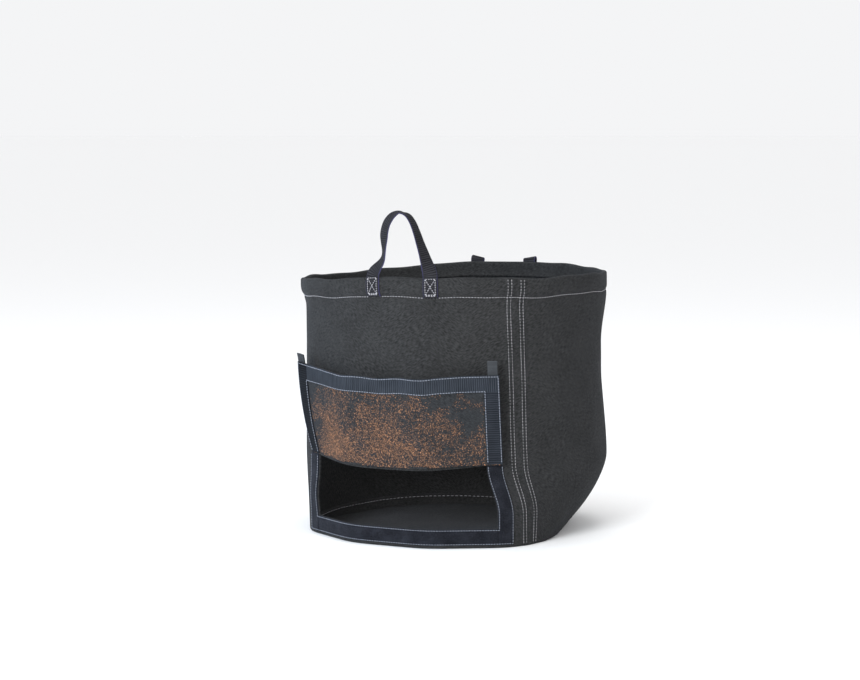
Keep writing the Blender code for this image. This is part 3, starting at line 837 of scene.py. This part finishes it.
def flap_at(u, v, out):
    point, normal = flap_frame(u, v)
    return point + normal * np.asarray(out)[..., None]


def flap_patch(name, us, vs, back, front, material, along_up=False, soft=SOFT_EDGE):
    """A sheet on the flap between two distances out; an edge at the flap's middle isn't rounded."""
    u, v = np.meshgrid(us, vs)
    from_first = u - us[0] if abs(us[0]) > 1e-9 else np.inf
    from_last = us[-1] - u if abs(us[-1]) > 1e-9 else np.inf
    edge_u = np.minimum(from_first, from_last)
    edge = np.minimum(edge_u, np.minimum(v - vs[0], vs[-1] - v))
    t = np.clip(edge / soft, 0, 1)
    share = np.sqrt(1 - (1 - t) ** 2)
    middle, half = (back + front) / 2, (front - back) / 2
    top = middle + half * (0.35 + 0.65 * share)
    base = middle - half * (0.35 + 0.65 * share)
    centre_u, centre_v = (us[0] + us[-1]) / 2, (vs[0] + vs[-1]) / 2
    if along_up:
        uv = np.stack([v - centre_v, u - centre_u], -1)
    elif material == FELT_DUSTY:
        uv = np.stack([u, v], -1)
    else:
        uv = np.stack([u, v - centre_v], -1)
    backing = FELT_OUT if material == FELT_DUSTY else None
    return shell(name, flap_at(u, v, top), flap_at(u, v, base), material, uv, backing)


def put_on_flap(piece, side, slot, node, middle_node):
    """Bakes a piece's transform and hides its CAD parts; the left piece stands for the middle one
    too.
    """
    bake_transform(piece)
    nodes = [node, middle_node] if side < 0 else [node]
    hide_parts(*nodes)


def halves(low, high, step):
    """The two halves of a range of u, split at the flap's middle: (side, places)."""
    found = []
    for side in (-1, 1):
        near, far = sorted((0.0, side * (high if side > 0 else -low)))
        places = spaced(near, far, step)
        keep = [p for p in places if abs(p) < 1e-9 or abs(p) > 0.002]
        found.append((side, np.array(keep)))
    return found


FELT_BACK, FELT_FRONT = -0.0019, 0.0006
HOOK_BACK, HOOK_FRONT = FELT_FRONT - 0.0002, 0.0022


def make_flap_felt():
    heights = spaced(-0.0030, FLAP_HEIGHT, 0.0035)
    for side, us in halves(-FLAP_HALF, FLAP_HALF, 0.004):
        name = SIDES[side]
        piece = flap_patch(
            f"flap_felt_{name}", us, heights, FELT_BACK, FELT_FRONT, FELT_DUSTY, soft=0.0013
        )
        put_on_flap(piece, side, "felt", f"flap_panel_{name}", "flap_panel_middle")


def make_hook_tapes():
    tape_low = FLAP_HEIGHT - TAPE_WIDTH
    edge = FLAP_HALF + 0.0003
    for side, us in halves(-edge, edge, 0.004):
        name = SIDES[side]
        vs = spaced(tape_low, FLAP_HEIGHT + 0.0003, 0.0022)
        if side < 0:
            # At the left the end tape stops at the side tape
            us = us[us > -FLAP_HALF + TAPE_WIDTH - 0.0002]
            us = np.concatenate([[-FLAP_HALF + TAPE_WIDTH - 0.0004], us])
        piece = flap_patch(f"hook_tape_end_{name}_strip", us, vs, HOOK_BACK, HOOK_FRONT, HOOK)
        put_on_flap(piece, side, "hook_tape", f"hook_tape_end_{name}", "hook_tape_end_middle")
    for side, name in SIDES.items():
        low, high = sorted((side * edge, side * (FLAP_HALF - TAPE_WIDTH)))
        top = FLAP_HEIGHT + 0.0004 if side < 0 else tape_low + 0.0006
        front = HOOK_FRONT + 0.0001 if side < 0 else HOOK_FRONT - 0.0003
        us, vs = spaced(low, high, 0.0025), spaced(-0.0015, top, 0.003)
        # each side tape takes its copy of the hook tape that is painted darker as shade
        piece = flap_patch(
            f"hook_tape_side_{name}_strip", us, vs, HOOK_BACK, front, HOOK_SIDES_PAINTED_SHADE[side], along_up=True
        )
        put(piece, f"flap_{name}", "hook_tape", f"hook_tape_side_{name}")


def make_flap_stitching():
    inset = 0.0012
    rows = (
        ("outer", FLAP_HALF - inset, FLAP_HEIGHT - inset),
        ("inner", FLAP_HALF - TAPE_WIDTH + inset, FLAP_HEIGHT - TAPE_WIDTH + inset),
    )
    for row, edge, high in rows:
        v = np.concatenate([np.linspace(0.0005, high, 60), np.full(90, high)])
        u = np.concatenate([np.full(60, edge), np.linspace(edge, 0, 90)])
        for side, name in SIDES.items():
            point, normal = flap_frame(side * u, v)
            front = (point + normal * (HOOK_FRONT + 0.0001), normal)
            back = (point + normal * FELT_BACK, -normal)
            piece = stitches(
                f"flap_{name}_stitches_{row}", [front, back], THREAD_BLUE, 0.0034, 0.0026, seed=3
            )
            nodes = [f"flap_{leaf}_stitching_{row}" for leaf in (name, "middle")]
            put_on_flap(piece, side, "thread", *nodes)


def make_fold():
    """The felt's turn from the sewn margin up into the open flap."""
    u = np.linspace(-LEAF - 0.004, LEAF + 0.004, 61)
    margin_y, flap_y = -0.1930, -HINGE_DISTANCE + 0.0006
    middle, radius = (margin_y + flap_y) / 2, (margin_y - flap_y) / 2
    turns = np.linspace(0, math.pi, 15)[:, None]
    droop = FOLD_DROOP * np.clip(1 - (u / 0.100) ** 2, 0, 1) * np.sin(turns / 2)
    low = FOLD_HEIGHT - 0.0012

    def face(r):
        y = middle + r * np.cos(turns)
        z = low - r * np.sin(turns) * 1.1 - droop
        return np.stack(np.broadcast_arrays(u, y, z), -1)

    front, back = face(radius + 0.0006), face(radius - 0.0006)
    uv = np.stack(np.broadcast_arrays(u, turns * radius), -1)
    piece = shell("flap_fold", front[::-1], back[::-1], FELT_OUT, uv[::-1])
    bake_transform(piece)


def make_tab(side, near, far, shift, fall, curl):
    """A pull tab from near to far past the flap's end; its tip shifts, falls and curls so far."""
    name = SIDES[side]
    low, high = sorted((side * (FLAP_HALF + near), side * (FLAP_HALF + far)))
    us = spaced(low, high, 0.0012, 0.0006)
    vs = spaced(FLAP_HEIGHT - 0.006, FLAP_HEIGHT + TAB_HEIGHT, 0.0014, 0.0006)
    u, v = np.meshgrid(us, vs)
    above = np.clip((v - FLAP_HEIGHT) / TAB_HEIGHT, 0, 1)
    place = (u + shift[0] + shift[1] * above, v - fall * above)
    front = flap_at(*place, -0.0020 + curl * above**2)
    back = flap_at(*place, -0.0037 + curl * above**2)
    uv = np.stack([v - vs.mean(), u - us.mean()], -1)
    piece = shell(f"pull_tab_{name}_webbing", front, back, TAB, uv)
    put(piece, f"flap_{name}", "tab_webbing", f"pull_tab_{name}")
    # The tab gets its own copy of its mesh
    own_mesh(piece)


# Handles


def curve_through(points, count):
    """A smooth line through points (Catmull-Rom), evenly spaced."""
    points = np.asarray(points, float)
    before, after = 2 * points[0] - points[1], 2 * points[-1] - points[-2]
    padded = np.concatenate([[before], points, [after]])
    line = []
    for p0, p1, p2, p3 in zip(padded[:-3], padded[1:-2], padded[2:-1], padded[3:]):
        for t in np.linspace(0, 1, 20, endpoint=False):
            bend = (2 * p0 - 5 * p1 + 4 * p2 - p3) * t**2 + (3 * p1 - p0 - 3 * p2 + p3) * t**3
            line.append(0.5 * (2 * p1 + (p2 - p0) * t + bend))
    line = np.array(line + [points[-1]])
    s = lengths(line)
    return points_at(np.linspace(0, s[-1], count), s, line)


def handle_axes(angle):
    t = math.radians(angle)
    return np.array([math.cos(t), math.sin(t), 0]), np.array([-math.sin(t), math.cos(t), 0])


def handle_hinge(name):
    joint = next(j for j in frame["joints"] if j["name"] == name)
    return np.array(joint["pos_m"], float)


# The upright loop's middle line, from foot to foot: (along the rim, up)
LOOP_SHAPE = [
    (-0.0378, -0.0060), (-0.0378, 0.0000), (-0.0360, 0.0062), (-0.0315, 0.0122),
    (-0.0268, 0.0180), (-0.0238, 0.0245), (-0.0228, 0.0330), (-0.0228, 0.0430),
    (-0.0222, 0.0560), (-0.0185, 0.0680), (-0.0112, 0.0765), (-0.0012, 0.0802),
    (0.0080, 0.0780), (0.0150, 0.0695), (0.0205, 0.0570), (0.0255, 0.0430), (0.0305, 0.0295),
    (0.0345, 0.0170), (0.0372, 0.0070), (0.0378, 0.0000), (0.0378, -0.0060),
]
BEND_HEIGHT = 0.0052  # above the hinge, where the straps are fully on the loop's body


def loop_geometry(depths):
    """The upright loop's (line, directions across, normals): x along the rim, y in, z up.

    depths are how far in the left and the right foot lie.
    """
    count = 130
    line = curve_through(LOOP_SHAPE, count)
    x, z = line[:, 0], line[:, 1]
    apex = int(np.argmax(z))
    rise = np.maximum(z, 0)
    # The straps twist as they rise; higher up the left one turns part of the way back
    turn = -FOOT_ANGLE - 46 * smooth(0.000, 0.029, rise) + 20 * smooth(0.030, 0.054, rise)
    turn[apex:] = -180 + FOOT_ANGLE + (90 - FOOT_ANGLE) * (1 - np.exp(-rise[apex:] / 0.026))
    turn = np.radians(turn)
    free = smooth(-0.002, 0.024, z)
    y = np.where(np.arange(count) < apex, *depths) * (1 - free) + 0.0035 * free
    centre = np.stack([x, y, z], -1)
    across = np.stack([np.cos(turn), np.sin(turn), np.zeros(count)], -1)
    tangent = unit(np.gradient(centre, axis=0))
    across = unit(across - tangent * (across * tangent).sum(1)[:, None])
    normal = np.cross(across, tangent)
    return centre, across, normal


def make_foot(place, angle, side, name):
    centre = angle + side * FOOT_ANGLE
    half = degrees(STRAP_WIDTH / 2)
    angles = spaced(centre - half, centre + half, 0.7, soft=degrees(0.0008))
    heights = spaced(FOOT_BOTTOM, HEIGHT - 0.0030, 0.0016)
    a, z = np.meshgrid(angles, heights)
    edge_a = np.minimum(a - angles[0], angles[-1] - a) * math.pi / 180 * WALL_RADIUS
    edge = np.minimum(edge_a, np.minimum(z - heights[0], 0.01))
    t = np.sqrt(1 - (1 - np.clip(edge / 0.0008, 0, 1)) ** 2)
    press = 0.0004 * bump(z, HEIGHT - HEM_DEPTH, 0.002)
    out = 0.0006 + STRAP_THICK * (0.45 + 0.55 * t) - press
    front, back = wall(a, z, out), wall(a, z, np.full_like(a, 0.0001))
    uv = np.stack([z, np.radians(a - centre) * WALL_RADIUS], -1)
    piece = shell(f"{place}_handle_foot_{name}_webbing", front, back, WEBBING, uv)
    put(piece, "bag", "webbing", f"{place}_handle_foot_{name}")

    # A box with a cross, its lower side sewn three times
    w, h = 0.0061, 0.0096
    middle = HEIGHT - 0.0100
    lines = [[(-w, -h), (w, -h), (w, h), (-w, h), (-w, -h), (w, h)], [(-w, h), (w, -h)]]
    lines += [[(-w, low), (w, low)] for low in (-h + 0.0007, -h - 0.0006)]
    paths = []
    for corners in lines:
        for (x0, y0), (x1, y1) in zip(corners[:-1], corners[1:]):
            t = np.linspace(0, 1, 12)
            xs, ys = x0 + (x1 - x0) * t, y0 + (y1 - y0) * t
            paths.append(wall_line(centre + np.degrees(xs / WALL_RADIUS), middle + ys, 0.0023))
    piece = stitches(
        f"{place}_handle_box_stitches_{name}", paths, THREAD, 0.0030, 0.0023, 0.0007, seed=5
    )
    put(piece, "bag", "thread", f"{place}_handle_box_stitch_{name}")


def make_handle(place, angle, shift, swing):
    """A handle's feet and its loop, moved by shift along the rim and hung outwards by swing."""
    along, inward = handle_axes(angle)
    hinge = handle_hinge(f"{place}_handle_swing") + along * shift
    middle = angle + degrees(shift)
    for side, name in SIDES.items():
        make_foot(place, middle, side, name)
    feet = [wall(middle + side * FOOT_ANGLE, HEIGHT - 0.005, 0.0004) for side in SIDES]
    centre, across, normal = loop_geometry([float((foot - hinge) @ inward) for foot in feet])
    axes = np.stack([along, inward, [0, 0, 1.0]])
    if swing == 0:
        piece = strap(f"{place}_handle_webbing", hinge + centre @ axes, across @ axes, normal @ axes)
        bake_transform(piece)
        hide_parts(f"{place}_handle_strap")
        return
    # The loop hangs down outside: its straps turn over outwards about the hinge
    turn = math.radians(swing) * smooth(-0.0050, BEND_HEIGHT, centre[:, 2])
    axis = np.array([1.0, 0, 0])

    def hung(v):
        c, s = np.cos(turn)[:, None], np.sin(turn)[:, None]
        return (v * c + np.cross(axis, v) * s + axis * (v @ axis)[:, None] * (1 - c)) @ axes

    placed, wide, flat = hinge + hung(centre), hung(across), hung(normal)
    moving = np.where(centre[:, 2] > BEND_HEIGHT)[0]
    first, last = moving[0], moving[-1]
    loop = slice(first, last + 1)
    piece = strap(f"{place}_handle_webbing", placed[loop], wide[loop], flat[loop])
    put(piece, f"{place}_handle", "webbing", f"{place}_handle_strap")
    for name, part in (("left", slice(0, first + 1)), ("right", slice(last, len(centre)))):
        index = np.arange(len(centre[part]))
        fine = np.linspace(0, index[-1], 24)
        line, side_way, face = (points_at(fine, index, v[part]) for v in (placed, wide, flat))
        piece = strap(f"{place}_handle_turn_{name}", line, unit(side_way), unit(face))
        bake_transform(piece)


# The camera and the light

EYE_AZIMUTH, EYE_DISTANCE, EYE_HEIGHT = 25.75, 3.2, 0.546
EYE_TILT, EYE_PAN = 5.4, 0.57
FOCAL_PIXELS, IMAGE_WIDTH = 2440.0, 860.0
SENSOR = 36
FLOOR_HALF = 80.0
LIGHT_AIM = (0, 0, 0.18)


def make_camera():
    data = bpy.data.cameras.new("camera")
    camera = bpy.data.objects.new("camera", data)
    bpy.context.scene.collection.objects.link(camera)
    a = math.radians(EYE_AZIMUTH)
    camera.location = (EYE_DISTANCE * math.sin(a), -EYE_DISTANCE * math.cos(a), EYE_HEIGHT)
    camera.rotation_euler = (math.radians(90 - EYE_TILT), 0, a + math.radians(EYE_PAN))
    data.sensor_width = SENSOR
    data.lens = FOCAL_PIXELS * SENSOR / IMAGE_WIDTH
    data.clip_end = 50
    bpy.context.scene.camera = camera


def area_light(name, place, size, power, colour):
    data = bpy.data.lights.new(name, "AREA")
    data.shape = "RECTANGLE"
    data.size, data.size_y = size
    data.energy = power
    data.color = colour
    light = bpy.data.objects.new(name, data)
    bpy.context.scene.collection.objects.link(light)
    light.location = place
    aim = Vector(LIGHT_AIM) - Vector(place)
    light.rotation_euler = aim.to_track_quat("-Z", "Y").to_euler()


def make_studio():
    n = Nodes("studio_floor")
    n.finish((0.99, 0.99, 0.99), 0.9, specular=0.1)
    signs = ((-1, -1), (1, -1), (1, 1), (-1, 1))
    corners = [(x * FLOOR_HALF, y * FLOOR_HALF, -0.0002) for x, y in signs]
    make("floor", corners, [[0, 1, 2, 3]], n.material)
    world = bpy.data.worlds.new("studio")
    world.use_nodes = True
    background = world.node_tree.nodes["Background"].inputs
    background["Color"].default_value = (0.925, 0.93, 0.94, 1)
    background["Strength"].default_value = 0.98
    bpy.context.scene.world = world
    bpy.context.scene.view_settings.view_transform = "Standard"
    area_light("key", (-0.10, -3.15, 1.1), (1.3, 1.3), 109, (0.93, 0.97, 1.0))
    area_light("side", (-2.4, -1.9, 0.9), (1.2, 1.2), 17, (0.02, 0.45, 1.0))
    area_light("top", (-0.2, 0.4, 2.6), (1.6, 1.6), 18, (1, 1, 1))


make_camera()
make_studio()
make_wall()
make_base()
make_wall_stitching()
make_window_tapes()
make_sewn_edge()
make_flap_felt()
make_hook_tapes()
make_flap_stitching()
make_fold()
make_tab(-1, -0.0135, 0.0008, shift=(-0.0040, -0.0012), fall=0.0080, curl=0.0010)
make_tab(1, -0.0140, -0.0015, shift=(0.0, 0.0004), fall=0.0002, curl=-0.0012)
make_handle("front", HANDLE_ANGLE, shift=HANDLE_SHIFT, swing=0.0)
make_handle("rear", HANDLE_ANGLE + 180, shift=0.0, swing=172.0)
